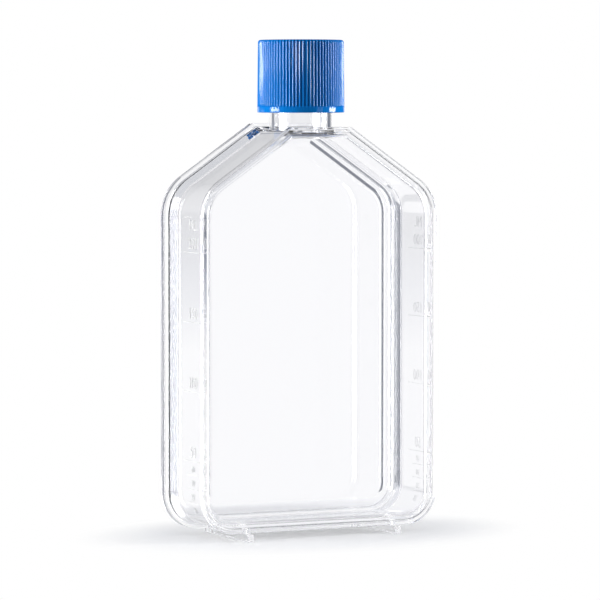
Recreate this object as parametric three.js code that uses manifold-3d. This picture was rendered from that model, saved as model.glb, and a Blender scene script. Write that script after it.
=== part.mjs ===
// Cell culture flask, 250 mL: a clear polystyrene body and base plate welded together,
// with a knurled polyethylene screw cap and the liner that seals its mouth.
// Millimetres, +Z up. The flask stands on its two runners, its neck along +Z. The front window
// faces -Y and the base plate, which cells grow on when the flask lies down, faces +Y.

import * as THREE from 'three';
import { mergeVertices } from 'three/addons/utils/BufferGeometryUtils.js';
import Module from 'manifold-3d';

const wasm = await Module();
wasm.setup();

// ---- driving dimensions -------------------------------------------------------------------

// front view of the rim: a tall box with two sloped shoulders and a flat top
const rimWidth = 87;
const rimHeight = 134.7;
const flatTopWidth = 22.3;
const shoulderAngle = THREE.MathUtils.degToRad(34.3);
const bottomCornerRadius = 11.5;
const shoulderCornerRadius = 14.5;

// section through the body, front to back
const bodyDepth = 32;
const rimDepth = 2.3;
const rimFaceWidth = 2;
const rimStep = 1.35;
const windowRecess = 0.8;
const windowThickness = 1.4;
const windowFilletRadius = 3.2;
const wallThickness = 1.4;
const weldRampLength = 3.6;
const edgeBreak = 0.3;

// base plate
const plateUpstand = 5.5;
const plateEdgeDepth = 3.2;
const plateEdgeStep = 1.2;
const plateRimWidth = 2;
const plateRecess = 0.8;
const plateThickness = 1.4;
const weldGap = 0.02;

// runners that the flask stands on
const runnerHeight = 2.6;
const runnerWidth = 2;
const runnerSpacing = 55;
const runnerOverhang = 2.8;
const runnerNoseRadius = 0.5;

// neck
const neckOuterDiameter = 21.4;
const neckBoreDiameter = 18.4;
const lipRadius = 0.5;

// cap
const capDiameter = 29.5;
const capTopDiameter = 28.9;
const capHeight = 24.45;
const capRootGap = 4.75;
const capTopThickness = 1.6;
const capBandHeight = 2;
const capEdgeRadius = 0.8;
const capBoreDiameter = 24.4;
const capBoreChamfer = 0.6;
const ribCount = 80;
const ribDepth = 0.4;
const ribTipShare = 0.08;
const ribRootShare = 0.3;

// liner
const linerThickness = 1.2;
const linerEdgeBreak = 0.2;
const linerSideClearance = 0.3;
const linerSeatClearance = 0.05;

// facets
const outlineSteps = 8;
const filletSteps = 4;
const turnSteps = 72;

// ---- worked out from the driving dimensions -------------------------------------------------

const frontY = -bodyDepth / 2;
const backY = bodyDepth / 2;
const rimBottom = runnerHeight;
const rimTop = rimBottom + rimHeight;
const wallTop = rimTop - rimStep;
const cavityInset = rimStep + wallThickness;
const windowInnerY = frontY + windowRecess + windowThickness;
const weldY = backY - plateUpstand;
const plateFrontY = weldY + weldGap;
const plateInnerY = backY - plateRecess - plateThickness;
const runnerRoot = rimBottom + rimStep + wallThickness / 2;
const capBottom = rimTop + capRootGap;
const capTop = capBottom + capHeight;
const capCeiling = capTop - capTopThickness;
const linerTop = capCeiling - linerSeatClearance;
const linerBottom = linerTop - linerThickness;
const lipZ = linerBottom - linerSeatClearance;

// ---- solids -----------------------------------------------------------------------------------

function toSolid(geometry) {
  geometry.deleteAttribute('normal');
  geometry.deleteAttribute('uv');
  const merged = mergeVertices(geometry, 1e-5);
  return new wasm.Manifold(new wasm.Mesh({
    numProp: 3,
    vertProperties: merged.attributes.position.array,
    triVerts: merged.index.array,
  }));
}

function toGeometry(solid) {
  const mesh = solid.getMesh();
  const geometry = new THREE.BufferGeometry();
  geometry.setAttribute('position', new THREE.BufferAttribute(mesh.vertProperties, 3));
  geometry.setIndex(new THREE.BufferAttribute(mesh.triVerts, 1));
  geometry.computeVertexNormals();
  return geometry;
}

// A path of radius and height, from the axis upwards and back to it, turned about +Z.
function turned(path, steps = turnSteps) {
  const geometry = new THREE.LatheGeometry(path.getPoints(filletSteps / 2), steps);
  geometry.rotateX(Math.PI / 2);
  return toSolid(geometry);
}

// A closed shape whose corners, in anticlockwise order, are rounded to their own radius or sharp.
function roundedShape(corners) {
  const shape = new THREE.Shape();
  corners.forEach(({ at, radius }, i) => {
    if (radius === 0) {
      shape.lineTo(at.x, at.y);
      return;
    }
    const before = corners.at(i - 1).at.clone().sub(at).normalize();
    const after = corners[(i + 1) % corners.length].at.clone().sub(at).normalize();
    const halfAngle = Math.acos(before.dot(after)) / 2;
    const centre = before.clone().add(after).setLength(radius / Math.sin(halfAngle)).add(at);
    const start = Math.atan2(before.x, -before.y);
    const sweep = Math.PI - 2 * halfAngle;
    shape.absarc(centre.x, centre.y, radius, start, start + sweep, false);
  });
  shape.closePath();
  return shape;
}

// The flask's outline seen from the front, moved inwards by inset.
function outline(inset) {
  const side = rimWidth / 2 - inset;
  const bottom = rimBottom + inset;
  const top = rimTop - inset;
  const flat = flatTopWidth / 2 - inset * Math.tan(shoulderAngle / 2);
  const shoulder = top - (side - flat) * Math.tan(shoulderAngle);
  const corner = (x, z, radius) => ({ at: new THREE.Vector2(x, z), radius });
  const bottomRadius = bottomCornerRadius - inset;
  const shoulderRadius = shoulderCornerRadius - inset;
  return roundedShape([
    corner(side, bottom, bottomRadius),
    corner(side, shoulder, shoulderRadius),
    corner(flat, top, 0),
    corner(-flat, top, 0),
    corner(-side, shoulder, shoulderRadius),
    corner(-side, bottom, bottomRadius),
  ]);
}

// A slab of the outline between two depths. Its front and back edges are cut back by bevelSize
// over bevelDepth, in one flat or in enough of them to be round.
function slab(inset, fromY, toY, bevelSize = 0, bevelDepth = bevelSize, bevelSegments = 1) {
  const geometry = new THREE.ExtrudeGeometry(outline(inset), {
    depth: toY - fromY - 2 * bevelDepth,
    curveSegments: outlineSteps,
    bevelEnabled: bevelSize > 0,
    bevelThickness: bevelDepth,
    bevelSize,
    bevelOffset: -bevelSize,
    bevelSegments,
  });
  geometry.rotateX(Math.PI / 2);
  geometry.translate(0, toY - bevelDepth, 0);
  return toSolid(geometry);
}

// Everything behind one depth, up to a height.
function blockBehind(y, height) {
  const geometry = new THREE.BoxGeometry(2 * rimWidth, bodyDepth, height);
  geometry.translate(0, y + bodyDepth / 2, height / 2);
  return toSolid(geometry);
}

// Both runners, from a side view drawn as depth and height.
function runnerPair(sideView) {
  const runner = (x) => {
    const geometry = new THREE.ExtrudeGeometry(sideView, {
      depth: runnerWidth,
      curveSegments: filletSteps,
      bevelEnabled: false,
    });
    geometry.rotateX(Math.PI / 2);
    geometry.rotateZ(Math.PI / 2);
    geometry.translate(x - runnerWidth / 2, 0, 0);
    return toSolid(geometry);
  };
  return runner(-runnerSpacing / 2).add(runner(runnerSpacing / 2));
}

// ---- flask body: window, rim, walls, neck and the front of the runners, in one moulding ---------

function neckBlank() {
  const radius = neckOuterDiameter / 2;
  const path = new THREE.Path();
  path.moveTo(0, wallTop - wallThickness / 2);
  path.lineTo(radius, wallTop - wallThickness / 2);
  path.absarc(radius - lipRadius, lipZ - lipRadius, lipRadius, 0, Math.PI / 2, false);
  path.lineTo(0, lipZ);
  return turned(path);
}

function neckBore() {
  const radius = neckBoreDiameter / 2;
  const path = new THREE.Path();
  path.moveTo(0, wallTop - 2 * wallThickness);
  path.lineTo(radius, wallTop - 2 * wallThickness);
  path.absarc(radius + lipRadius, lipZ - lipRadius, lipRadius, Math.PI, Math.PI / 2, true);
  path.lineTo(radius + lipRadius, lipZ + lipRadius);
  path.lineTo(0, lipZ + lipRadius);
  return turned(path);
}

function frontRunners() {
  const nose = frontY - runnerOverhang;
  const heel = frontY + rimDepth / 2;
  const round = runnerNoseRadius;
  const sideView = new THREE.Shape();
  sideView.moveTo(nose, 0);
  sideView.lineTo(weldY, 0);
  sideView.lineTo(weldY, runnerRoot);
  sideView.lineTo(heel, runnerRoot);
  sideView.lineTo(heel, runnerHeight);
  sideView.absarc(nose + round, runnerHeight - round, round, Math.PI / 2, Math.PI, false);
  return runnerPair(sideView);
}

function flaskBody() {
  const rim = slab(0, frontY, frontY + rimDepth, edgeBreak);
  const wall = slab(rimStep, frontY + rimDepth / 2, weldY);
  const rampEnd = weldY + 2 * weldRampLength;
  const weldRamp = slab(0, weldY - weldRampLength, rampEnd, rimStep, weldRampLength);
  const windowOpening = slab(rimFaceWidth, frontY - 1, frontY + windowRecess);
  const cavityEnd = weldY + 2 * windowFilletRadius;
  const cavity = slab(
    cavityInset,
    windowInnerY,
    cavityEnd,
    windowFilletRadius,
    windowFilletRadius,
    filletSteps,
  );
  return rim
    .add(wall)
    .add(weldRamp)
    .add(neckBlank())
    .add(frontRunners())
    .subtract(blockBehind(weldY, rimTop + weldGap))
    .subtract(windowOpening)
    .subtract(cavity)
    .subtract(neckBore());
}

// ---- base plate: growth surface, stepped edge and the back of the runners, in one moulding --------

function backRunners() {
  const sideView = new THREE.Shape();
  sideView.moveTo(plateFrontY, 0);
  sideView.lineTo(backY, 0);
  sideView.lineTo(backY, runnerHeight);
  sideView.lineTo(plateInnerY, runnerRoot);
  sideView.lineTo(plateFrontY, runnerRoot);
  return runnerPair(sideView);
}

function basePlate() {
  const edgeFrontY = backY - plateEdgeDepth;
  const upstand = slab(0, plateFrontY, backY - plateEdgeDepth / 2);
  const edge = slab(-plateEdgeStep, edgeFrontY, backY, edgeBreak);
  const backRecess = slab(plateRimWidth - plateEdgeStep, backY - plateRecess, backY + 1);
  const filletRadius = plateInnerY - plateFrontY;
  const pocket = slab(
    cavityInset,
    plateFrontY - 2 * filletRadius,
    plateInnerY,
    filletRadius,
    filletRadius,
    filletSteps,
  );
  return upstand.add(edge).add(backRunners()).subtract(backRecess).subtract(pocket);
}

// ---- screw cap: smooth band, tapering knurled skirt and closed top ---------------------------------

// The knurl seen along the cap's axis: narrow tips and wider roots joined by sloped flanks. The
// tips stand above the skirt, which trims them to its own taper.
function knurlShape() {
  const tip = capDiameter / 2 + ribDepth;
  const root = capTopDiameter / 2 - ribDepth;
  const points = [];
  for (let i = 0; i < ribCount; i++) {
    const corner = (share, radius) => {
      const angle = (i + share) * 2 * Math.PI / ribCount;
      points.push(new THREE.Vector2(radius * Math.cos(angle), radius * Math.sin(angle)));
    };
    corner(-ribTipShare / 2, tip);
    corner(ribTipShare / 2, tip);
    corner((1 - ribRootShare) / 2, root);
    corner((1 + ribRootShare) / 2, root);
  }
  return new THREE.Shape(points);
}

function screwCap() {
  const bandRadius = capDiameter / 2;
  const bandTop = capBottom + capBandHeight;
  const roundRadius = capTopDiameter / 2 - capEdgeRadius;
  const roundZ = capTop - capEdgeRadius;

  const knurl = new THREE.ExtrudeGeometry(knurlShape(), { depth: capHeight, bevelEnabled: false });
  knurl.translate(0, 0, capBottom);

  const skirt = new THREE.Path();
  skirt.moveTo(0, bandTop - edgeBreak);
  skirt.lineTo(bandRadius, bandTop - edgeBreak);
  skirt.absarc(roundRadius, roundZ, capEdgeRadius, 0, Math.PI / 2, false);
  skirt.lineTo(0, capTop);

  const band = new THREE.Path();
  band.moveTo(0, capBottom);
  band.lineTo(bandRadius - edgeBreak, capBottom);
  band.lineTo(bandRadius, capBottom + edgeBreak);
  band.lineTo(bandRadius, bandTop);
  band.lineTo(0, bandTop);

  const boreRadius = capBoreDiameter / 2;
  const bore = new THREE.Path();
  bore.moveTo(0, capBottom - 1);
  bore.lineTo(boreRadius + capBoreChamfer, capBottom - 1);
  bore.lineTo(boreRadius + capBoreChamfer, capBottom);
  bore.lineTo(boreRadius, capBottom + capBoreChamfer);
  bore.lineTo(boreRadius, capCeiling);
  bore.lineTo(0, capCeiling);

  return toSolid(knurl)
    .intersect(turned(skirt, ribCount))
    .add(turned(band, ribCount))
    .subtract(turned(bore));
}

// ---- liner: a soft disc that lies against the cap's ceiling and seals on the lip ---------------------

function capLiner() {
  const radius = capBoreDiameter / 2 - linerSideClearance;
  const path = new THREE.Path();
  path.moveTo(0, linerBottom);
  path.lineTo(radius - linerEdgeBreak, linerBottom);
  path.lineTo(radius, linerBottom + linerEdgeBreak);
  path.lineTo(radius, linerTop - linerEdgeBreak);
  path.lineTo(radius - linerEdgeBreak, linerTop);
  path.lineTo(0, linerTop);
  return turned(path);
}

// ---- scene graph ---------------------------------------------------------------------------------------

function piece(name, solid, material) {
  const mesh = new THREE.Mesh(toGeometry(solid), new THREE.MeshStandardMaterial(material));
  mesh.name = name;
  return mesh;
}

const clearPolystyrene = {
  color: 0xe6eef2,
  roughness: 0.04,
  metalness: 0,
  transparent: true,
  opacity: 0.35,
};

const flask = new THREE.Group();
flask.add(
  piece('flask_body', flaskBody(), clearPolystyrene),
  piece('base_plate', basePlate(), clearPolystyrene),
);

const closure = new THREE.Group();
closure.add(
  piece('screw_cap', screwCap(), { color: 0x1268e0, roughness: 0.32, metalness: 0 }),
  piece('cap_liner', capLiner(), { color: 0xf4f4f0, roughness: 0.6, metalness: 0 }),
);

// The runners reach out in front of the body but end flush with its back, so the flask is set
// back by half of that reach to stand centred over the origin.
const cultureFlask = new THREE.Group();
cultureFlask.position.y = runnerOverhang / 2;
cultureFlask.add(flask, closure);

export default cultureFlask;
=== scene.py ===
import math

import bmesh
import bpy
from bpy.props import FloatProperty, IntProperty, PointerProperty, StringProperty
from mathutils import Matrix, Vector
from mathutils.geometry import intersect_point_line


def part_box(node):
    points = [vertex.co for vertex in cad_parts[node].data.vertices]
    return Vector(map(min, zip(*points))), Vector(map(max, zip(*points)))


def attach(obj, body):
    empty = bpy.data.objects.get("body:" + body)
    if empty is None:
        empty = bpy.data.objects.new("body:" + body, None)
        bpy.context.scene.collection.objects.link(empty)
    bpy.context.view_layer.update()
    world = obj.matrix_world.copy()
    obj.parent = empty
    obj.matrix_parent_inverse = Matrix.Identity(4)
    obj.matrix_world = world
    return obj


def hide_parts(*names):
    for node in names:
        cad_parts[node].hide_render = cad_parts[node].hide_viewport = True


bl_info = {
    "name": "Cell Culture Flask",
    "version": (1, 0, 0),
    "blender": (4, 5, 0),
    "location": "View3D > Sidebar > Flask",
    "description": "Builds a clear welded cell culture flask with a knurled screw cap",
    "category": "Add Mesh",
}

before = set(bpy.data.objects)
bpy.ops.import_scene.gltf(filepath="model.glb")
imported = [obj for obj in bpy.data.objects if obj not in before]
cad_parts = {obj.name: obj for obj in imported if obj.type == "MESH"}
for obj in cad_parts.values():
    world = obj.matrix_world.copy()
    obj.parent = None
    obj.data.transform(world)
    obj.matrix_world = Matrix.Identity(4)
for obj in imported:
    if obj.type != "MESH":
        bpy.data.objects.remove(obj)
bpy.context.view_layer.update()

MM = 0.001
BODY_LOW, BODY_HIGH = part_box("flask_body")
_, PLATE_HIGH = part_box("base_plate")
CAP_LOW, CAP_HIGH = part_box("screw_cap")
LINER_LOW, LINER_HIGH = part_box("cap_liner")

# The neck, cap and liner turn about this line.
AXIS = Vector(((CAP_LOW[0] + CAP_HIGH[0]) / 2, (CAP_LOW[1] + CAP_HIGH[1]) / 2, 0))

TURN_STEPS = 96  # in a full turn
OUTLINE_STEPS = 16  # in a corner of the flask's outline
SMALL_STEPS, LARGE_STEPS = 3, 12  # in a rounding under 1 mm, and in a larger one


# ---- sizes and colours a user would change ------------------------------------------------------


def length(name, description, millimetres):
    """A length that a user can change, its default in millimetres."""
    return FloatProperty(
        name=name,
        description=description,
        default=millimetres * MM,
        min=0,
        precision=5,
        subtype="DISTANCE",
        unit="LENGTH",
    )


def colour(name, description, hex_code):
    """A colour that a user can change, as an sRGB hex code."""
    return StringProperty(name=name, description=description, default=hex_code, maxlen=7)


class FlaskSizes(bpy.types.PropertyGroup):
    """Sizes of the welded body that the frame's boxes don't give"""

    rim_height: length("Rim height", "Front rim, from its bottom edge to its flat top", 134.7)
    flat_top: length("Flat top", "Width of the flat top between the shoulders", 22.3)
    shoulder_angle: FloatProperty(
        name="Shoulder slope",
        description="Fall of the shoulders from level",
        default=math.radians(34.3),
        subtype="ANGLE",
    )
    bottom_radius: length("Bottom corners", "Radius of the outline's bottom corners", 11.5)
    shoulder_radius: length("Shoulder corners", "Radius where the shoulders meet the sides", 14.5)
    top_radius: length("Top corners", "Radius where the shoulders meet the flat top", 0.5)
    depth: length("Depth", "Body from the front rim's face to the plate's edge", 32.0)
    rim_depth: length("Rim depth", "Front rim, front to back", 2.5)
    rim_face: length("Rim face", "Width of the front rim's face", 1.8)
    rim_step: length("Rim step", "How far the rim stands out from the walls", 1.15)
    wall: length("Wall", "Thickness of the side walls", 1.22)
    pane: length("Pane", "Thickness of the window and of the base plate", 1.65)
    recess: length("Window recess", "How far the window lies behind the rim's face", 0.9)
    window_fillet: length("Window fillet", "Inside radius between the window and the walls", 1.67)
    ramp: length("Weld ramp", "Length over which the walls swell to the weld", 4.0)
    plate_upstand: length("Plate upstand", "Base plate from the weld to its back", 5.2)
    plate_edge: length("Plate edge", "Thickness of the plate's outer edge", 2.8)
    plate_step: length("Plate step", "How far the plate's edge stands out", 1.19)
    plate_rim: length("Plate rim", "Width of the raised edge behind the plate", 0.85)
    plate_recess: length("Plate recess", "How far the plate lies inside its raised edge", 1.0)
    plate_fillet: length("Plate fillet", "Inside radius between the plate and its wall", 4.6)
    runner_height: length("Runner height", "Height of the runners under the rim", 2.6)
    runner_width: length("Runner width", "Width of a runner", 2.0)
    runner_spacing: length("Runner spacing", "Distance between the runners' middles", 55.0)
    neck_radius: length("Neck radius", "Outside radius of the neck", 10.7)
    bore_radius: length("Bore radius", "Inside radius of the neck", 9.2)


class MarkSizes(bpy.types.PropertyGroup):
    """Graduations on the side walls"""

    zero: length("Zero", "Height of the empty level over the floor", 3.24)
    spacing: length("Spacing", "Height that holds 50 mL", 23.15)
    figure: length("Figures", "Height of the large figures", 3.8)
    small_figure: length("Small figures", "Height of the small figures", 2.2)
    long_line: length("Long lines", "Length of the lines at each 50 mL", 14.2)
    short_line: length("Short lines", "Length of the lines at each 10 mL", 8.2)
    tick: length("Tick", "Length of the short line beside the unit", 4.2)
    line: length("Line width", "Width of a line", 0.36)
    relief: length("Relief", "How far the marks stand off the wall", 0.15)
    middle: length("Middle", "How far the lines' middle lies in front of the neck's axis", 5.3)


class CapSizes(bpy.types.PropertyGroup):
    """Sizes of the cap and its threads"""

    ribs: IntProperty(name="Ribs", description="Ribs round the cap", default=80, min=12)
    rib_depth: length("Rib depth", "Height of a rib over its groove", 0.36)
    band: length("Band", "Height of the smooth band at the cap's mouth", 2.0)
    top_radius: length("Top radius", "Radius over the ribs at the top", 14.45)
    edge_round: length("Edge round", "Rounding of the top edge", 0.8)
    bore: length("Bore", "Inside radius of the cap", 12.2)
    top_wall: length("Top wall", "Thickness of the top", 1.6)
    thread_pitch: length("Thread pitch", "Rise of the thread in one turn", 3.5)
    thread_height: length("Thread height", "How far a thread stands off its wall", 0.9)


class FlaskLooks(bpy.types.PropertyGroup):
    """Colours of the mouldings"""

    clear: colour("Clear polystyrene", "Tint of the clear mouldings", "#FEFEFF")
    blue: colour("Cap", "Blue polyethylene", "#0882E0")
    foam: colour("Liner", "Foamed liner", "#F1F1EC")


class StudioSettings(bpy.types.PropertyGroup):
    """Camera and light"""

    distance: length("Camera distance", "From the neck's axis to the lens", 1205.0)
    height: length("Camera height", "Lens above the floor", 146.6)
    turn: FloatProperty(
        name="Camera turn",
        description="How far the camera stands round to the flask's left",
        default=math.radians(26.0),
        subtype="ANGLE",
    )
    pitch: FloatProperty(
        name="Camera pitch",
        description="How far the camera looks down",
        default=math.radians(3.22),
        subtype="ANGLE",
    )
    focal: FloatProperty(
        name="Focal length",
        description="Lens focal length on a 36 mm sensor",
        default=214.2,
        subtype="DISTANCE_CAMERA",
    )


# ---- small helpers ------------------------------------------------------------------------------


def linear(hex_code):
    """An sRGB hex colour as linear RGBA."""
    channels = [int(hex_code[i : i + 2], 16) / 255 for i in (1, 3, 5)]
    curve = [c / 12.92 if c <= 0.04045 else ((c + 0.055) / 1.055) ** 2.4 for c in channels]
    return (*curve, 1.0)


def add_node(tree, kind, inputs=None, **settings):
    """Adds a node, sets its properties, and sets or links its inputs by name or number."""
    new = tree.nodes.new(kind)
    for key, value in settings.items():
        setattr(new, key, value)
    for key, value in (inputs or {}).items():
        if isinstance(value, bpy.types.NodeSocket):
            tree.links.new(value, new.inputs[key])
        else:
            new.inputs[key].default_value = value
    return new


def new_material(name):
    """An empty node material and its output node."""
    material = bpy.data.materials.new(name)
    material.use_nodes = True
    material.node_tree.nodes.clear()
    return material, add_node(material.node_tree, "ShaderNodeOutputMaterial")


def corner_arc(before, at, after, radius):
    """A rounded corner: its centre, the way from there to its start, and the angle it turns."""
    to_before = (before - at).normalized()
    to_after = (after - at).normalized()
    half = to_before.angle(to_after) / 2
    centre = at + (to_before + to_after).normalized() * radius / math.sin(half)
    start = at + to_before * radius / math.tan(half) - centre
    return centre, start, math.pi - 2 * half


def rounded(corners):
    """A path through (u, v, radius) corners with each inner corner rounded to its radius."""
    path = [Vector(corners[0][:2])]
    for before, (u, v, radius), after in zip(corners, corners[1:], corners[2:]):
        before, at, after = Vector(before[:2]), Vector((u, v)), Vector(after[:2])
        centre, start, angle = corner_arc(before, at, after, radius)
        sweep = math.copysign(angle, -(before - at).cross(after - at))
        steps = SMALL_STEPS if radius < 1 * MM else LARGE_STEPS
        path += [centre + Matrix.Rotation(sweep * i / steps, 2) @ start for i in range(steps + 1)]
    path.append(Vector(corners[-1][:2]))
    return path


def turned(bm, profile, steps=TURN_STEPS, sweep=math.tau, rise=0.0, closed=False):
    """Spins a path of radius and height about the neck's axis."""
    chain = [bm.verts.new(AXIS + Vector((radius, 0, z))) for radius, z in profile]
    pairs = list(zip(chain, chain[1:]))
    if closed:
        pairs.append((chain[-1], chain[0]))
    edges = [bm.edges.new(pair) for pair in pairs]
    bmesh.ops.spin(
        bm,
        geom=chain + edges,
        cent=AXIS,
        axis=(0, 0, 1),
        dvec=(0, 0, rise / steps),
        angle=sweep,
        steps=steps,
        use_merge=sweep == math.tau and rise == 0,
    )
    bmesh.ops.remove_doubles(bm, verts=bm.verts, dist=1e-7)


def only(kind, geometry):
    """The members of one kind, such as BMVert, among bmesh geometry."""
    return [member for member in geometry if isinstance(member, kind)]


def out_from_axis(vert):
    """The level way from the neck's axis to a vertex."""
    return Vector((vert.co.x - AXIS.x, vert.co.y - AXIS.y, 0))


def to_object(bm, name):
    """Turns the bmesh into a new object with its faces pointing outwards.

    The faces are sorted by their points, as bmesh leaves them in an order that differs by run.
    """
    bmesh.ops.recalc_face_normals(bm, faces=bm.faces)
    bm.verts.index_update()
    rings = []
    for face in bm.faces:
        ring = [vert.index for vert in face.verts]
        first = ring.index(min(ring))
        rings.append(ring[first:] + ring[:first])
    mesh = bpy.data.meshes.new(name)
    mesh.from_pydata([vert.co for vert in bm.verts], [], sorted(rings))
    bm.free()
    made = bpy.data.objects.new(name, mesh)
    bpy.context.scene.collection.objects.link(made)
    return made


def combine(base, tools):
    """Joins or cuts base with each (operation, object) in turn, and removes those tools."""
    for operation, tool in tools:
        modifier = base.modifiers.new("Combine", "BOOLEAN")
        modifier.operation = operation
        modifier.solver = "EXACT"
        modifier.object = tool
        evaluated = base.evaluated_get(bpy.context.evaluated_depsgraph_get())
        mesh = bpy.data.meshes.new_from_object(evaluated)
        base.modifiers.clear()
        base.data = mesh
        bpy.data.objects.remove(tool)


def clean(obj, sharp_angle=35.0):
    """Merges doubles, and shades smooth between edges sharper than an angle."""
    bm = bmesh.new()
    bm.from_mesh(obj.data)
    bmesh.ops.remove_doubles(bm, verts=bm.verts, dist=2e-6)
    for face in bm.faces:
        face.smooth = True
    for edge in bm.edges:
        edge.smooth = edge.calc_face_angle(0) < math.radians(sharp_angle)
    bm.to_mesh(obj.data)
    bm.free()


def finish_piece(obj, material, body, slot, *nodes):
    """Gives a finished piece its material, its body and the solids it stands for. Its slot is not
    used.
    """
    if not obj.data.materials:
        obj.data.materials.append(material)
    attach(obj, body)
    if nodes:
        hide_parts(*nodes)


def flatten_shading(obj):
    """Keeps large faces flat right up to their small fillets."""
    weighted = obj.modifiers.new("Weighted normals", "WEIGHTED_NORMAL")
    weighted.mode = "FACE_AREA"
    weighted.weight = 100
    weighted.keep_sharp = True


# ---- materials ----------------------------------------------------------------------------------


def noise_relief(tree, scale, strength, distance, detail=2.0):
    """Noise in Object coordinates: its value, and the normal of the bump that it makes."""
    place = add_node(tree, "ShaderNodeTexCoord")
    noise = add_node(
        tree,
        "ShaderNodeTexNoise",
        {"Vector": place.outputs["Object"], "Scale": scale, "Detail": detail},
    )
    value = noise.outputs["Fac"]
    bump = add_node(
        tree, "ShaderNodeBump", {"Height": value, "Strength": strength, "Distance": distance}
    )
    return value, bump.outputs["Normal"]


def clear_polystyrene(looks):
    # General purpose polystyrene, injection moulded in a polished tool: water clear with a faint
    # blue toner and an index of 1.59, so its edges draw dark and bright lines. Flow in the mould
    # leaves the faces very slightly wavy, about 12 mm from crest to crest.
    material, output = new_material("Clear polystyrene, polished mould")
    tree = material.node_tree
    _, wave = noise_relief(tree, scale=80.0, strength=0.01, distance=0.0005, detail=1.0)
    shader = add_node(
        tree,
        "ShaderNodeBsdfPrincipled",
        {
            "Base Color": linear(looks.clear),
            "Roughness": 0.0,
            "IOR": 1.59,
            "Transmission Weight": 1.0,
            "Normal": wave,
        },
    )
    # Its shadow is set here, as Cycles would make it opaque.
    path = add_node(tree, "ShaderNodeLightPath")
    pale_shadow = add_node(tree, "ShaderNodeBsdfTransparent", {"Color": linear("#909296")})
    mix = add_node(
        tree,
        "ShaderNodeMixShader",
        {0: path.outputs["Is Shadow Ray"], 1: shader.outputs[0], 2: pale_shadow.outputs[0]},
    )
    tree.links.new(mix.outputs[0], output.inputs["Surface"])
    return material


def frosted_polystyrene():
    # The same polystyrene where the tool's engraved marks were left etched: a matte skin about
    # 0.02 mm deep that scatters a third of the light forwards and throws the rest back, so the
    # marks read white against the clear wall.
    material, output = new_material("Frosted polystyrene, etched marks")
    tree = material.node_tree
    _, etched = noise_relief(tree, scale=9000.0, strength=0.2, distance=0.00002)
    white = linear("#F7F7F7")
    back = add_node(tree, "ShaderNodeBsdfDiffuse", {"Color": white, "Normal": etched})
    through = add_node(tree, "ShaderNodeBsdfTranslucent", {"Color": white, "Normal": etched})
    skin = add_node(
        tree, "ShaderNodeMixShader", {0: 0.35, 1: back.outputs[0], 2: through.outputs[0]}
    )
    tree.links.new(skin.outputs[0], output.inputs["Surface"])
    return material


def blue_polyethylene(looks):
    # High density polyethylene, pigmented through and moulded in a fine-blasted tool: a waxy
    # semi-gloss with soft broad highlights and a very fine orange peel, grain about 0.3 mm.
    material, output = new_material("Blue polyethylene, moulded")
    tree = material.node_tree
    peel, uneven = noise_relief(tree, scale=3300.0, strength=0.02, distance=0.00001)
    sheen = add_node(tree, "ShaderNodeMapRange", {"Value": peel, "To Min": 0.09, "To Max": 0.12})
    shader = add_node(
        tree,
        "ShaderNodeBsdfPrincipled",
        {
            "Base Color": linear(looks.blue),
            "Roughness": sheen.outputs["Result"],
            "IOR": 1.54,
            "Normal": uneven,
        },
    )
    tree.links.new(shader.outputs[0], output.inputs["Surface"])
    return material


def foam_liner(looks):
    # Closed-cell polyethylene foam, die cut from sheet: matte white with cells of about 0.2 mm.
    material, output = new_material("White foam liner, die cut")
    tree = material.node_tree
    place = add_node(tree, "ShaderNodeTexCoord")
    cells = add_node(
        tree, "ShaderNodeTexVoronoi", {"Vector": place.outputs["Object"], "Scale": 5000.0}
    )
    bump = add_node(
        tree,
        "ShaderNodeBump",
        {"Height": cells.outputs["Distance"], "Strength": 0.3, "Distance": 0.00005},
    )
    shade = add_node(
        tree,
        "ShaderNodeMixRGB",
        {"Fac": cells.outputs["Distance"], 1: linear(looks.foam), 2: linear("#DDDDD6")},
    )
    shader = add_node(
        tree,
        "ShaderNodeBsdfPrincipled",
        {
            "Base Color": shade.outputs[0],
            "Roughness": 0.7,
            "Normal": bump.outputs["Normal"],
        },
    )
    tree.links.new(shader.outputs[0], output.inputs["Surface"])
    return material


# ---- the welded body ----------------------------------------------------------------------------

# The base plate starts this far behind the body. In the real flask the two are welded here.
SEAM = 0.02 * MM
# No rounded corner is sharper than this.
LEAST_RADIUS = 0.02 * MM
# The sections run this far inwards, where one flat face closes the window or the plate.
FLAT_FROM = 6 * MM

# A thread's section: how far its foot sinks into the wall, and half its width at foot and crest.
THREAD_SINK = 0.3 * MM
THREAD_HALF_FOOT = 0.85 * MM
THREAD_HALF_CREST = 0.35 * MM
THREAD_STEPS = 72  # in a turn
# Each end fades out over this part of a turn, down to this share of the height.
THREAD_FADE_TURNS = 0.25
THREAD_LEAST_SHARE = 0.02
# Where the threads start below the neck's lip and below the liner, and how many turns they take.
NECK_THREAD_DROP, NECK_THREAD_TURNS = 10.5 * MM, 2.3
CAP_THREAD_DROP, CAP_THREAD_TURNS = 9.5 * MM, 1.6


def front_y(sizes):
    """The front rim's face."""
    return PLATE_HIGH[1] - sizes.depth


def weld_y(sizes):
    """Where the body ends against the base plate."""
    return PLATE_HIGH[1] - sizes.plate_upstand


def seam_y(sizes):
    """Where the base plate starts."""
    return weld_y(sizes) + SEAM


def feet_top(sizes):
    """How high the runners reach into the bottom wall."""
    return sizes.runner_height + sizes.rim_step + sizes.wall / 2


def walls_top(sizes):
    """The outside of the flat top wall, from which the neck rises."""
    return sizes.runner_height + sizes.rim_height - sizes.rim_step


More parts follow.
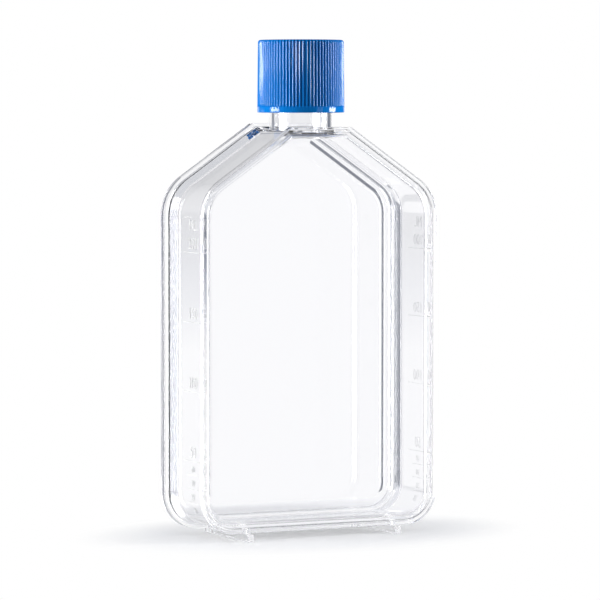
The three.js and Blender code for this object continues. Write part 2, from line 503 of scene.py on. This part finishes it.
def outline_corners(sizes, inset):
    """The front outline moved inwards: each corner's place and radius, anticlockwise."""
    side = BODY_HIGH[0] - inset
    bottom = sizes.runner_height + inset
    top = sizes.runner_height + sizes.rim_height - inset
    flat = sizes.flat_top / 2 - inset * math.tan(sizes.shoulder_angle / 2)
    shoulder = top - (side - flat) * math.tan(sizes.shoulder_angle)
    low = max(sizes.bottom_radius - inset, LEAST_RADIUS)
    high = max(sizes.shoulder_radius - inset, LEAST_RADIUS)
    tip = max(sizes.top_radius - inset, LEAST_RADIUS)
    return [
        (Vector((side, 0, bottom)), low),
        (Vector((side, 0, shoulder)), high),
        (Vector((flat, 0, top)), tip),
        (Vector((-flat, 0, top)), tip),
        (Vector((-side, 0, shoulder)), high),
        (Vector((-side, 0, bottom)), low),
    ]


def outline_points(sizes, inset, y):
    """Points round the outline at an inset and a depth, with its corners as arcs."""
    corners = outline_corners(sizes, inset)
    points = []
    for i, (at, radius) in enumerate(corners):
        before, after = corners[i - 1][0], corners[(i + 1) % len(corners)][0]
        centre, start, angle = corner_arc(before, at, after, radius)
        for step in range(OUTLINE_STEPS + 1):
            turn = Matrix.Rotation(-angle * step / OUTLINE_STEPS, 3, "Y")
            points.append(centre + turn @ start + Vector((0, y, 0)))
    return points


def grow_ring(bm, ring, points):
    """Extrudes a closed ring of vertices to new places, and returns the new ring."""
    edges = [bm.edges.get(pair) for pair in zip(ring, ring[1:] + ring[:1])]
    made = set(bmesh.ops.extrude_edge_only(bm, edges=edges)["geom"])
    grown = []
    for old, point in zip(ring, points):
        new = next(e.other_vert(old) for e in old.link_edges if e.other_vert(old) in made)
        new.co = point
        grown.append(new)
    return grown


def outline_shell(sizes, name, section):
    """A closed solid swept round the outline along a section of insets and depths."""
    bm = bmesh.new()
    ring = [bm.verts.new(point) for point in outline_points(sizes, *section[0])]
    bm.faces.new(ring)
    for inset, y in section[1:]:
        ring = grow_ring(bm, ring, outline_points(sizes, inset, y))
    bm.faces.new(ring)
    return to_object(bm, name)


def body_section(sizes):
    """The body's section from the window's outside, round the rim and weld, to its inside."""
    front = front_y(sizes)
    weld = weld_y(sizes)
    wall = sizes.rim_step
    inner = sizes.rim_step + sizes.wall
    window = front + sizes.recess
    return rounded([
        (FLAT_FROM, window, 0),
        (sizes.rim_face, window, 0.15 * MM),
        (sizes.rim_face - 0.1 * MM, front, 0.2 * MM),
        (0, front, 0.25 * MM),
        (0, front + sizes.rim_depth, 0.25 * MM),
        (wall, front + sizes.rim_depth, 0.4 * MM),
        (wall, weld - sizes.ramp, 3 * MM),
        (0, weld, 0.1 * MM),
        (inner, weld, 0.05 * MM),
        (inner, window + sizes.pane, sizes.window_fillet),
        (inner + FLAT_FROM, window + sizes.pane, 0),
    ])


def plate_section(sizes):
    """The base plate's section from the weld outwards, round its edge and back to the inside."""
    back = PLATE_HIGH[1]
    seam = seam_y(sizes)
    inner = sizes.rim_step + sizes.wall
    edge = back - sizes.plate_edge
    outside = back - sizes.plate_recess
    floor = outside - sizes.pane
    radius = sizes.plate_fillet
    low = math.asin((seam - floor + radius) / radius)
    turns = [low + (math.pi / 2 - low) * i / LARGE_STEPS for i in range(LARGE_STEPS + 1)]
    fillet = [
        Vector((inner + radius * (1 - math.cos(t)), floor - radius * (1 - math.sin(t))))
        for t in turns
    ]
    return rounded([
        (FLAT_FROM, outside, 0),
        (sizes.plate_rim + 0.1 * MM, outside, 0.2 * MM),
        (sizes.plate_rim, back, 0.2 * MM),
        (-sizes.plate_step, back, 0.2 * MM),
        (-sizes.plate_step, edge, 0.3 * MM),
        (0, edge, 0.3 * MM),
        (0, seam, 0.1 * MM),
        (*fillet[0], 0),
    ]) + fillet[1:] + [Vector((inner + FLAT_FROM, floor))]


def runners(sizes, name, side_view):
    """Two runners from a side view of depths and heights, with lightly broken edges."""
    bm = bmesh.new()
    for side in (-1, 1):
        left = side * sizes.runner_spacing / 2 - sizes.runner_width / 2
        face = bm.faces.new([bm.verts.new((left, y, z)) for y, z in side_view])
        grown = bmesh.ops.extrude_face_region(bm, geom=[face], use_keep_orig=True)["geom"]
        far = only(bmesh.types.BMVert, grown)
        bmesh.ops.translate(bm, verts=far, vec=(sizes.runner_width, 0, 0))
    bmesh.ops.bevel(
        bm,
        geom=bm.edges[:],
        offset=0.2 * MM,
        affect="EDGES",
        segments=3,
        profile=0.5,
        material=-1,
    )
    return to_object(bm, name)


def thread(name, sizes, wall_radius, height, low_z, turns, start):
    """A right-hand helical ridge that fades out at both ends. A negative height points inwards."""
    steps = round(turns * THREAD_STEPS)
    foot = wall_radius - math.copysign(THREAD_SINK, height)
    crest = wall_radius + height
    bm = bmesh.new()
    profile = [
        (foot, low_z - THREAD_HALF_FOOT),
        (crest, low_z - THREAD_HALF_CREST),
        (crest, low_z + THREAD_HALF_CREST),
        (foot, low_z + THREAD_HALF_FOOT),
    ]
    rise = sizes.thread_pitch * turns
    turned(bm, profile, steps, math.tau * turns, rise, closed=True)
    bmesh.ops.rotate(bm, verts=bm.verts, cent=AXIS, matrix=Matrix.Rotation(start, 3, "Z"))
    bmesh.ops.holes_fill(bm, edges=bm.edges, sides=4)
    for vert in bm.verts:
        out = out_from_axis(vert)
        along = (vert.co.z - low_z) / rise
        from_end = min(along, 1 - along) * turns
        share = min(1, max(THREAD_LEAST_SHARE, from_end / THREAD_FADE_TURNS))
        wanted = foot + (out.length - foot) * math.sin(share * math.pi / 2)
        vert.co += out.normalized() * (wanted - out.length)
    return to_object(bm, name)


# ---- graduations --------------------------------------------------------------------------------

# A letter stands this share of its font size high, and the mould's are narrower than the font's.
LETTER_SHARE = 0.73
LETTER_WIDTH = 0.86
# How far the large figures, the unit, its tick and the small figures stand over their line.
FIGURE_UP = 1.2 * MM
UNIT_UP = 7.3 * MM
TICK_UP = 11.6 * MM
SMALL_FIGURE_UP = 0.9 * MM
# In lettering, points this close are one, a point this close to an edge lies on it, and a face
# under this area is a sliver.
ONE_POINT = 0.01 * MM
ON_EDGE = 0.002 * MM
SLIVER_AREA = 1e-5 * MM**2


def on_wall(bm, sizes, side, y, z):
    """Lays flat work in XY on a side wall and its bottom corner, upright from outside."""
    wall_x = BODY_HIGH[0] - sizes.rim_step
    turn = Matrix(((0, side, 0), (0, 0, 1), (side, 0, 0))).transposed().to_4x4()
    place = Matrix.Translation((side * wall_x, y, z)) @ turn
    bmesh.ops.transform(bm, matrix=place, verts=bm.verts)
    radius = sizes.bottom_radius - sizes.rim_step
    for vert in bm.verts:
        drop = max(0, sizes.runner_height + sizes.bottom_radius - vert.co.z)
        vert.co.x -= side * (radius - math.sqrt(radius**2 - drop**2))


def split_at_corners(bm):
    """Drops flat slivers, splits open edges at corners that lie on them, and joins them there."""
    slivers = [f for f in bm.faces if f.calc_area() < SLIVER_AREA]
    bmesh.ops.delete(bm, geom=slivers, context="FACES")
    for vert in bm.verts[:]:
        for edge in [e for e in bm.edges if e.is_boundary and vert not in e.verts]:
            start, end = (v.co for v in edge.verts)
            foot, share = intersect_point_line(vert.co, start, end)
            if 0.001 < share < 0.999 and (foot - vert.co).length < ON_EDGE:
                bmesh.utils.edge_split(edge, edge.verts[0], share)
    bmesh.ops.remove_doubles(bm, verts=bm.verts, dist=ONE_POINT)


def figures(text, height, relief):
    """Raised lettering, centred and standing on its base line."""
    curve = bpy.data.curves.new("figures", "FONT")
    curve.body = text
    curve.size = height / LETTER_SHARE
    curve.align_x = "CENTER"
    curve.resolution_u = 3
    text_object = bpy.data.objects.new("figures", curve)
    bpy.context.scene.collection.objects.link(text_object)
    evaluated = text_object.evaluated_get(bpy.context.evaluated_depsgraph_get())
    bm = bmesh.new()
    bm.from_mesh(evaluated.to_mesh())
    bpy.data.objects.remove(text_object)
    bmesh.ops.remove_doubles(bm, verts=bm.verts, dist=ONE_POINT)
    split_at_corners(bm)
    grown = bmesh.ops.extrude_face_region(bm, geom=bm.faces[:], use_keep_orig=True)["geom"]
    top = only(bmesh.types.BMVert, grown)
    bmesh.ops.translate(bm, verts=top, vec=(0, 0, 2 * relief))
    place = Matrix.Translation((0, 0, -relief)) @ Matrix.Diagonal((LETTER_WIDTH, 1, 1, 1))
    bmesh.ops.transform(bm, matrix=place, verts=bm.verts)
    return bm


def ridge_line(length_along, width, relief):
    """A straight raised line with sloping sides, centred."""
    bm = bmesh.new()
    size = Matrix.Diagonal((length_along, width, 2 * relief, 1))
    for vert in bmesh.ops.create_cube(bm, size=1, matrix=size)["verts"]:
        if vert.co.z > 0:
            vert.co.y *= 0.5
    return bm


def graduations(sizes, marks, materials):
    """The raised lines and figures of both side walls, sunk a little into the walls."""
    middle = AXIS.y - marks.middle
    ten = marks.spacing / 5
    solids = []

    def add(bm, side, y, z):
        on_wall(bm, sizes, side, y, z)
        mark = to_object(bm, "mark")
        for material in materials:
            mark.data.materials.append(material)
        for polygon in mark.data.polygons:
            polygon.material_index = 1
        solids.append(mark)

    def add_line(length_along, side, y, z):
        add(ridge_line(length_along, marks.line, marks.relief), side, y, z)

    def add_figures(text, height, side, z):
        add(figures(text, height, marks.relief), side, middle, z)

    for side in (-1, 1):
        for fifty in range(1, 5):
            level = marks.zero + fifty * marks.spacing
            add_line(marks.long_line, side, middle, level)
            add_figures(str(50 * fifty), marks.figure, side, level + FIGURE_UP)
        add_figures("ML", marks.figure, side, level + UNIT_UP)
        # Only the left wall has the tick.
        if side < 0:
            add_line(marks.tick, side, middle + (marks.long_line - marks.tick) / 2, level + TICK_UP)
        for tens in range(1, 5):
            level = marks.zero + tens * ten
            # The lowest figures have no line.
            if tens > 1:
                add_line(marks.short_line, side, middle, level)
            add_figures(str(10 * tens), marks.small_figure, side, level + SMALL_FIGURE_UP)
    return solids


def neck_blank(sizes):
    """The neck without its bore."""
    foot = walls_top(sizes) - 0.7 * sizes.wall
    bm = bmesh.new()
    turned(bm, rounded([
        (0, foot, 0),
        (sizes.neck_radius, foot, 0.05 * MM),
        (sizes.neck_radius, BODY_HIGH[2], 0.5 * MM),
        (0, BODY_HIGH[2], 0),
    ]))
    return to_object(bm, "neck_blank")


def neck_bore(sizes):
    """What is cut out of the neck: its bore, wider at the chamber and at the lip."""
    top = walls_top(sizes)
    lip = BODY_HIGH[2]
    at_chamber = sizes.bore_radius + 0.6 * MM
    at_lip = sizes.bore_radius + 0.5 * MM
    bm = bmesh.new()
    turned(bm, rounded([
        (0, top - 2.2 * sizes.wall, 0),
        (at_chamber, top - 2.2 * sizes.wall, LEAST_RADIUS),
        (at_chamber, top - sizes.wall, LEAST_RADIUS),
        (sizes.bore_radius, top - sizes.wall + 0.7 * MM, 0.3 * MM),
        (sizes.bore_radius, lip - 0.4 * MM, 0.3 * MM),
        (at_lip, lip + 0.2 * MM, LEAST_RADIUS),
        (at_lip, lip + 1 * MM, LEAST_RADIUS),
        (0, lip + 1 * MM, 0),
    ]))
    return to_object(bm, "neck_bore")


class FLASK_OT_body(bpy.types.Operator):
    """Build the clear body: window, rim, walls, weld ramp, neck and front runners"""

    bl_idname = "flask.body"
    bl_label = "Body"

    def execute(self, context):
        sizes = context.scene.flask_sizes
        cap = context.scene.flask_cap
        front = front_y(sizes)
        weld = weld_y(sizes)

        materials = (clear_polystyrene(context.scene.flask_looks), frosted_polystyrene())
        marks = graduations(sizes, context.scene.flask_marks, materials)
        shell = outline_shell(sizes, "flask_shell", body_section(sizes))
        for material in materials:
            shell.data.materials.append(material)

        low = BODY_HIGH[2] - NECK_THREAD_DROP
        ridge = thread(
            "neck_thread", cap, sizes.neck_radius, cap.thread_height, low, NECK_THREAD_TURNS, 0.0
        )
        combine(shell, [
            ("UNION", neck_blank(sizes)),
            ("UNION", ridge),
            ("UNION", runners(sizes, "front_runners", [
                (BODY_LOW[1], 0),
                (weld, 0),
                (weld, feet_top(sizes)),
                (front + 0.6 * MM, feet_top(sizes) - 0.5 * MM),
                (front - 0.1 * MM, sizes.runner_height - 0.1 * MM),
                (BODY_LOW[1], sizes.runner_height - 0.1 * MM),
            ])),
            ("DIFFERENCE", neck_bore(sizes)),
            *[("UNION", solid) for solid in marks],
        ])
        clean(shell)
        flatten_shading(shell)
        finish_piece(shell, materials[0], "flask", "clear_polystyrene", "flask_body")
        return {"FINISHED"}


class FLASK_OT_plate(bpy.types.Operator):
    """Build the base plate that cells grow on, with its stepped edge and back runners"""

    bl_idname = "flask.plate"
    bl_label = "Base plate"

    def execute(self, context):
        sizes = context.scene.flask_sizes
        seam = seam_y(sizes)
        shell = outline_shell(sizes, "plate_shell", plate_section(sizes))
        combine(shell, [
            ("UNION", runners(sizes, "back_runners", [
                (seam, 0),
                (PLATE_HIGH[1], 0),
                (PLATE_HIGH[1], sizes.runner_height),
                (PLATE_HIGH[1] - sizes.plate_recess - sizes.pane / 2, feet_top(sizes)),
                (seam, feet_top(sizes)),
            ])),
        ])
        clean(shell)
        flatten_shading(shell)
        material = clear_polystyrene(context.scene.flask_looks)
        finish_piece(shell, material, "flask", "clear_polystyrene", "base_plate")
        return {"FINISHED"}


# ---- cap and liner ------------------------------------------------------------------------------

# One flank of a rib from its crest: shares of the pitch, and of the rib's depth.
RIB_FLANK = ((0.05, 0.02), (0.15, 0.14), (0.35, 0.86), (0.45, 0.98))


def rib_section(depth):
    """Half a rib pitch each side of a crest, as shares of the pitch and drops from the crest."""
    left = [(-share, drop * depth) for share, drop in reversed(RIB_FLANK)]
    right = [(share, drop * depth) for share, drop in RIB_FLANK]
    return [(-0.5, depth), *left, (0.0, 0.0), *right, (0.5, depth)]


def ribbed_wall(sizes, stations):
    """Ribs all round through stations of radius, height and share of the ribs' depth."""
    pitch = math.tau / sizes.ribs

    def row(radius, z, share):
        return [
            AXIS
            + Vector((
                (radius - drop) * math.cos(at * pitch),
                (radius - drop) * math.sin(at * pitch),
                z,
            ))
            for at, drop in rib_section(sizes.rib_depth * share)
        ]

    bm = bmesh.new()
    verts = [bm.verts.new(point) for point in row(*stations[0])]
    strip = [bm.edges.new(pair) for pair in zip(verts, verts[1:])]
    for station in stations[1:]:
        grown = bmesh.ops.extrude_edge_only(bm, edges=strip)["geom"]
        edges = [e for e in only(bmesh.types.BMEdge, grown) if e.is_boundary]
        strip = [e for e in edges if all(v in grown for v in e.verts)]
        fresh = sorted(
            {v for e in strip for v in e.verts},
            key=lambda v: math.atan2(v.co.y - AXIS.y, v.co.x - AXIS.x),
        )
        for vert, point in zip(fresh, row(*station)):
            vert.co = point
    bmesh.ops.spin(
        bm,
        geom=bm.verts[:] + bm.edges[:] + bm.faces[:],
        cent=AXIS,
        axis=(0, 0, 1),
        angle=math.tau - pitch,
        steps=sizes.ribs - 1,
        use_duplicate=True,
    )
    bmesh.ops.remove_doubles(bm, verts=bm.verts, dist=1e-6)
    return bm


def close_cap(bm, middle, path):
    """Closes a ribbed wall above its middle height, and below it along a path of radius, height."""
    open_edges = [e for e in bm.edges if e.is_boundary]
    top_edges = [e for e in open_edges if e.verts[0].co.z > middle]
    bmesh.ops.contextual_create(bm, geom=top_edges)
    low_edges = [e for e in open_edges if e.verts[0].co.z < middle]
    for radius, z in path:
        grown = bmesh.ops.extrude_edge_only(bm, edges=low_edges)["geom"]
        low_edges = [e for e in only(bmesh.types.BMEdge, grown) if e.is_boundary]
        for vert in only(bmesh.types.BMVert, grown):
            vert.co = AXIS + out_from_axis(vert).normalized() * radius + Vector((0, 0, z))
    bmesh.ops.contextual_create(bm, geom=low_edges)


class FLASK_OT_cap(bpy.types.Operator):
    """Build the screw cap: knurled skirt, smooth band, closed top and thread"""

    bl_idname = "flask.cap"
    bl_label = "Screw cap"

    def execute(self, context):
        sizes = context.scene.flask_cap
        low, high = CAP_LOW[2], CAP_HIGH[2]
        band_radius = (CAP_HIGH[0] - CAP_LOW[0]) / 2
        band_top = low + sizes.band
        edge = rounded([
            (sizes.top_radius, high - 2 * sizes.edge_round, 0),
            (sizes.top_radius, high, sizes.edge_round),
            (sizes.top_radius - 2 * sizes.edge_round, high, 0),
        ])
        # The ribs grow out of the band, and lose a twelfth of their depth at each point of the
        # top edge.
        bm = ribbed_wall(sizes, [
            (band_radius, band_top, 0.0),
            (band_radius - 0.05 * MM, band_top + 0.05 * MM, 0.15),
            (band_radius - 0.08 * MM, band_top + 0.35 * MM, 1.0),
            *[(radius, z, 1.0 - i / 12) for i, (radius, z) in enumerate(edge[:-1])],
        ])
        close_cap(bm, (low + high) / 2, [
            (band_radius, low + 0.3 * MM),
            (band_radius - 0.09 * MM, low + 0.09 * MM),
            (band_radius - 0.3 * MM, low),
            (sizes.bore + 0.6 * MM, low),
            (sizes.bore, low + 0.6 * MM),
            (sizes.bore, high - sizes.top_wall),
        ])
        cap = to_object(bm, "cap_knurled")
        start = LINER_LOW[2] - CAP_THREAD_DROP
        ridge = thread(
            "cap_thread", sizes, sizes.bore, -sizes.thread_height, start, CAP_THREAD_TURNS, math.pi
        )
        combine(cap, [("UNION", ridge)])
        clean(cap, 50)
        material = blue_polyethylene(context.scene.flask_looks)
        finish_piece(cap, material, "cap", "blue_polyethylene", "screw_cap")
        return {"FINISHED"}


class FLASK_OT_liner(bpy.types.Operator):
    """Build the soft liner that seals on the lip"""

    bl_idname = "flask.liner"
    bl_label = "Cap liner"

    def execute(self, context):
        radius = (LINER_HIGH[0] - LINER_LOW[0]) / 2
        low, high = LINER_LOW[2], LINER_HIGH[2]
        bm = bmesh.new()
        turned(bm, rounded([
            (0, low, 0),
            (radius, low, 0.25 * MM),
            (radius, high, 0.25 * MM),
            (0, high, 0),
        ]))
        liner = to_object(bm, "liner_disc")
        clean(liner)
        material = foam_liner(context.scene.flask_looks)
        finish_piece(liner, material, "liner", "white_foam", "cap_liner")
        return {"FINISHED"}


# ---- stage --------------------------------------------------------------------------------------

# The white of the panels round the table.
PANEL_LEVEL = 0.98
# The floor is a small disc, as clear plastic low on the flask would mirror a wide one and lose its
# dark lines.
FLOOR_RADIUS = 90 * MM
# Light that the paper adds of its own, so that it shows near white.
FLOOR_LIFT = 0.34
# An ellipse round the feet, half its length and width, and between which sizes of it the shadow
# gives way to plain white.
SHADOW_REACH = (45 * MM, 32 * MM, 1.0)
SHADOW_FADE = (1.0, 1.85)


def shown_ray(tree):
    """1 for what the camera sees straight, in gloss or through clear plastic, else 0."""
    path = add_node(tree, "ShaderNodeLightPath")
    seen = path.outputs["Is Camera Ray"]
    for name in ("Is Glossy Ray", "Is Transmission Ray"):
        inputs = {0: seen, 1: path.outputs[name]}
        seen = add_node(tree, "ShaderNodeMath", inputs, operation="MAXIMUM").outputs[0]
    return seen


def pale_floor():
    # A roll of matte white paper: it shows near white and keeps the shadow near the flask, and
    # farther out a painted white covers the shadow.
    material, output = new_material("White paper roll")
    tree = material.node_tree
    _, fibrous = noise_relief(tree, scale=900.0, strength=0.05, distance=0.0002)
    paper = add_node(tree, "ShaderNodeBsdfDiffuse", {"Color": linear("#EDEDED"), "Normal": fibrous})
    glow = add_node(tree, "ShaderNodeEmission", {"Color": (1, 1, 1, 1), "Strength": FLOOR_LIFT})
    lifted = add_node(tree, "ShaderNodeAddShader", {0: paper.outputs[0], 1: glow.outputs[0]})
    # Far from the flask the floor is as white as what the camera, or clear plastic, sees behind it.
    path = add_node(tree, "ShaderNodeLightPath")
    level = add_node(
        tree,
        "ShaderNodeMath",
        {0: path.outputs["Is Camera Ray"], 1: PANEL_LEVEL},
        operation="MAXIMUM",
    )
    white = add_node(
        tree, "ShaderNodeEmission", {"Color": (1, 1, 1, 1), "Strength": level.outputs[0]}
    )
    # By its distance from the feet the floor fades into this painted white, which cuts the real
    # shadow off close round the flask.
    place = add_node(tree, "ShaderNodeTexCoord")
    footprints = add_node(
        tree,
        "ShaderNodeVectorMath",
        {0: place.outputs["Object"], 1: SHADOW_REACH},
        operation="DIVIDE",
    )
    away = add_node(tree, "ShaderNodeVectorMath", {0: footprints.outputs[0]}, operation="LENGTH")
    fade_from, fade_to = SHADOW_FADE
    fade = add_node(
        tree,
        "ShaderNodeMapRange",
        {"Value": away.outputs["Value"], "From Min": fade_from, "From Max": fade_to},
        interpolation_type="SMOOTHSTEP",
    )
    far = add_node(
        tree,
        "ShaderNodeMixShader",
        {"Fac": fade.outputs["Result"], 1: lifted.outputs[0], 2: white.outputs[0]},
    )
    mix = add_node(
        tree,
        "ShaderNodeMixShader",
        {"Fac": shown_ray(tree), 1: paper.outputs[0], 2: far.outputs[0]},
    )
    tree.links.new(mix.outputs[0], output.inputs["Surface"])
    return material


# Round the table stand white panels with dark gaps between them, which draw the dark lines in the
# clear mouldings. Each gap: the heading of its middle from +Y towards +X, half its width and how
# bright it still is.
PANEL_GAPS = (
    (-23.1, 16.9, 0.2),
    (36.8, 3.2, 0.2),
    (68.5, 12.4, 0.2),
    (-68.4, 15.1, 0.2),
)
# Light that was mirrored on its way finds the panels off, but for those behind the flask, the one
# that its front window mirrors, a left one lit from below only, and the two soft boxes. Each: the
# heading of its middle and half its width.
MIRRORED_PANELS = ((20.5, 31.5), (154.0, 9.0))
FADING_PANEL = (-30.0, 8.5)
SOFTBOXES = ((-85.0, 12.5), (117.0, 11.0))
SOFTBOX_LEVEL = 9.5
# The unlit room is dark low down and lighter above the horizon, and this much lighter at the front
# left. The outside of the plastic mirrors it darker still.
ROOM_LOW = 0.25
ROOM_HIGH = 0.85
ROOM_FRONT_LEFT = 0.4
ROOM_OUTSIDE = 0.05


def studio_world():
    """White panels round the table and a dim ceiling; the camera itself sees plain white."""
    world = bpy.data.worlds.new("Studio")
    world.use_nodes = True
    tree = world.node_tree
    tree.nodes.clear()

    def step(operation, *values):
        inputs = dict(enumerate(values))
        return add_node(tree, "ShaderNodeMath", inputs, operation=operation).outputs[0]

    def between(value, low, high, at_low, at_high):
        inputs = {
            "Value": value, "From Min": low, "From Max": high, "To Min": at_low, "To Max": at_high
        }
        return add_node(tree, "ShaderNodeMapRange", inputs).outputs["Result"]

    place = add_node(tree, "ShaderNodeTexCoord")
    way = add_node(tree, "ShaderNodeSeparateXYZ", {0: place.outputs["Generated"]})
    heading = step("ARCTAN2", way.outputs["X"], way.outputs["Y"])
    rise = way.outputs["Z"]

    def faces(middle, half):
        return step("COMPARE", heading, math.radians(middle), math.radians(half))

    # Light that was never mirrored sees the panels and their gaps, which don't reach the ceiling.
    low_enough = step("COMPARE", rise, 0.2, 0.4)
    panels = PANEL_LEVEL
    for middle, half, left in PANEL_GAPS:
        shade = step("MULTIPLY", step("MULTIPLY", faces(middle, half), low_enough), 1 - left)
        panels = step("MULTIPLY", panels, step("SUBTRACT", 1.0, shade))

    # Light that was mirrored sees the few panels that are on, or else the room.
    path = add_node(tree, "ShaderNodeLightPath")
    bounced = step("GREATER_THAN", path.outputs["Glossy Depth"], 0.5)
    mirrored = step("MAXIMUM", *[faces(*panel) for panel in MIRRORED_PANELS])
    mirrored = step("MULTIPLY", mirrored, between(rise, 0.1, 0.4, 1.0, 0.0))
    fading = step("MULTIPLY", faces(*FADING_PANEL), between(rise, -0.07, -0.03, 1.0, 0.1))
    mirrored = step("MAXIMUM", mirrored, fading)
    outside = path.outputs["Is Reflection Ray"]
    front_left = step("LESS_THAN", heading, math.radians(-90))
    lighter = step("ADD", step("MULTIPLY", front_left, ROOM_FRONT_LEFT), ROOM_LOW)
    room = step("MAXIMUM", between(rise, -0.02, 0.12, ROOM_LOW, ROOM_HIGH), lighter)
    room = step("MULTIPLY", room, step("SUBTRACT", 1.0, outside))
    room = step("ADD", room, step("MULTIPLY", outside, ROOM_OUTSIDE))
    mirrored = step("MAXIMUM", mirrored, room)
    never = step("SUBTRACT", 1.0, bounced)
    level = step("ADD", step("MULTIPLY", bounced, mirrored), step("MULTIPLY", never, panels))

    # The soft boxes show in what is mirrored inside the clear plastic.
    boxes = step("MAXIMUM", *[faces(*box) for box in SOFTBOXES])
    boxes = step("MULTIPLY", boxes, step("COMPARE", rise, 0.05, 0.35))
    boxes = step("MULTIPLY", boxes, step("MULTIPLY", bounced, path.outputs["Is Transmission Ray"]))
    level = step("MAXIMUM", level, step("MULTIPLY", boxes, SOFTBOX_LEVEL))

    # Light that matt surfaces receive comes from overhead.
    received = step("GREATER_THAN", path.outputs["Diffuse Depth"], 0.5)
    ambient = between(rise, 0.5, 1.0, 0.01, 1.0)
    inputs = {"Factor": received, "A": level, "B": ambient}
    surround = add_node(tree, "ShaderNodeMix", inputs).outputs["Result"]
    shown = step("MAXIMUM", surround, path.outputs["Is Camera Ray"])
    # What is dark in the room is a little blue.
    tint = add_node(
        tree,
        "ShaderNodeMixRGB",
        {"Fac": shown, "Color1": linear("#BCCBEE"), "Color2": (1, 1, 1, 1)},
    )
    glow = add_node(tree, "ShaderNodeBackground", {"Color": tint.outputs[0], "Strength": shown})
    add_node(tree, "ShaderNodeOutputWorld", {"Surface": glow.outputs[0]})
    bpy.context.scene.world = world


# The lamps behind the soft boxes: heading, width and watts. Their height and distance are the same.
LAMPS = {
    "left_softbox": (-81, 0.54, 18),
    "right_softbox": (113, 0.47, 17),
}
LAMP_HEIGHT = 0.7
LAMP_DISTANCE = 1.2


def softbox(name, heading, width, watts):
    """A soft box that stands at a heading and lights the flask's middle."""
    data = bpy.data.lights.new(name, "AREA")
    data.shape = "RECTANGLE"
    data.size = width
    data.size_y = LAMP_HEIGHT
    data.energy = watts
    lamp = bpy.data.objects.new(name, data)
    bpy.context.scene.collection.objects.link(lamp)
    turn = math.radians(heading)
    lamp.location = AXIS + Vector((
        LAMP_DISTANCE * math.sin(turn), LAMP_DISTANCE * math.cos(turn), CAP_LOW[2]
    ))
    lamp.rotation_euler = (math.pi / 2, 0, math.pi - turn)
    lamp.visible_camera = False
    lamp.visible_transmission = False


# The camera stands this far to the right of the line through the neck's axis.
CAMERA_SLIDE = -0.27 * MM
# Light runs round inside the clear edges many times before it leaves them.
LIGHT_BOUNCES = 32


def camera(studio):
    """The camera, to the flask's left front and looking slightly down."""
    turn = studio.turn
    data = bpy.data.cameras.new("Camera")
    data.lens = studio.focal
    data.sensor_width = 36
    data.clip_start = 0.05
    data.clip_end = 50
    made = bpy.data.objects.new("Camera", data)
    bpy.context.scene.collection.objects.link(made)
    made.location = AXIS + Vector((
        -studio.distance * math.sin(turn) + CAMERA_SLIDE * math.cos(turn),
        -studio.distance * math.cos(turn) - CAMERA_SLIDE * math.sin(turn),
        studio.height,
    ))
    made.rotation_euler = (math.pi / 2 - studio.pitch, 0, -turn)
    bpy.context.scene.camera = made


class FLASK_OT_stage(bpy.types.Operator):
    """Set the floor, the light and the camera"""

    bl_idname = "flask.stage"
    bl_label = "Stage"

    def execute(self, context):
        scene = context.scene
        bm = bmesh.new()
        bmesh.ops.create_circle(bm, cap_ends=True, segments=TURN_STEPS, radius=FLOOR_RADIUS)
        floor = to_object(bm, "floor")
        floor.data.materials.append(pale_floor())
        studio_world()
        for name, (heading, width, watts) in LAMPS.items():
            softbox(name, heading, width, watts)
        camera(scene.flask_studio)
        scene.view_settings.view_transform = "Standard"
        scene.cycles.max_bounces = LIGHT_BOUNCES
        scene.cycles.glossy_bounces = LIGHT_BOUNCES
        scene.cycles.transmission_bounces = LIGHT_BOUNCES
        return {"FINISHED"}


# ---- panel and registration ---------------------------------------------------------------------

SETTINGS = {
    "flask_sizes": FlaskSizes,
    "flask_marks": MarkSizes,
    "flask_cap": CapSizes,
    "flask_looks": FlaskLooks,
    "flask_studio": StudioSettings,
}
STEPS = (FLASK_OT_body, FLASK_OT_plate, FLASK_OT_cap, FLASK_OT_liner, FLASK_OT_stage)


class FLASK_PT_panel(bpy.types.Panel):
    """Sizes, colours and build steps of the flask"""

    bl_idname = "FLASK_PT_panel"
    bl_label = "Cell Culture Flask"
    bl_space_type = "VIEW_3D"
    bl_region_type = "UI"
    bl_category = "Flask"

    def draw(self, context):
        for name in SETTINGS:
            settings = getattr(context.scene, name)
            box = self.layout.box()
            for key in settings.__annotations__:
                box.prop(settings, key)
        for step in STEPS:
            self.layout.operator(step.bl_idname)


CLASSES = (*SETTINGS.values(), *STEPS, FLASK_PT_panel)


def register():
    for cls in CLASSES:
        bpy.utils.register_class(cls)
    for name, group in SETTINGS.items():
        setattr(bpy.types.Scene, name, PointerProperty(type=group))


def unregister():
    for name in SETTINGS:
        delattr(bpy.types.Scene, name)
    for cls in reversed(CLASSES):
        bpy.utils.unregister_class(cls)


def main():
    register()
    bpy.ops.flask.body()
    bpy.ops.flask.plate()
    bpy.ops.flask.cap()
    bpy.ops.flask.liner()
    bpy.ops.flask.stage()


if __name__ == "__main__":
    main()
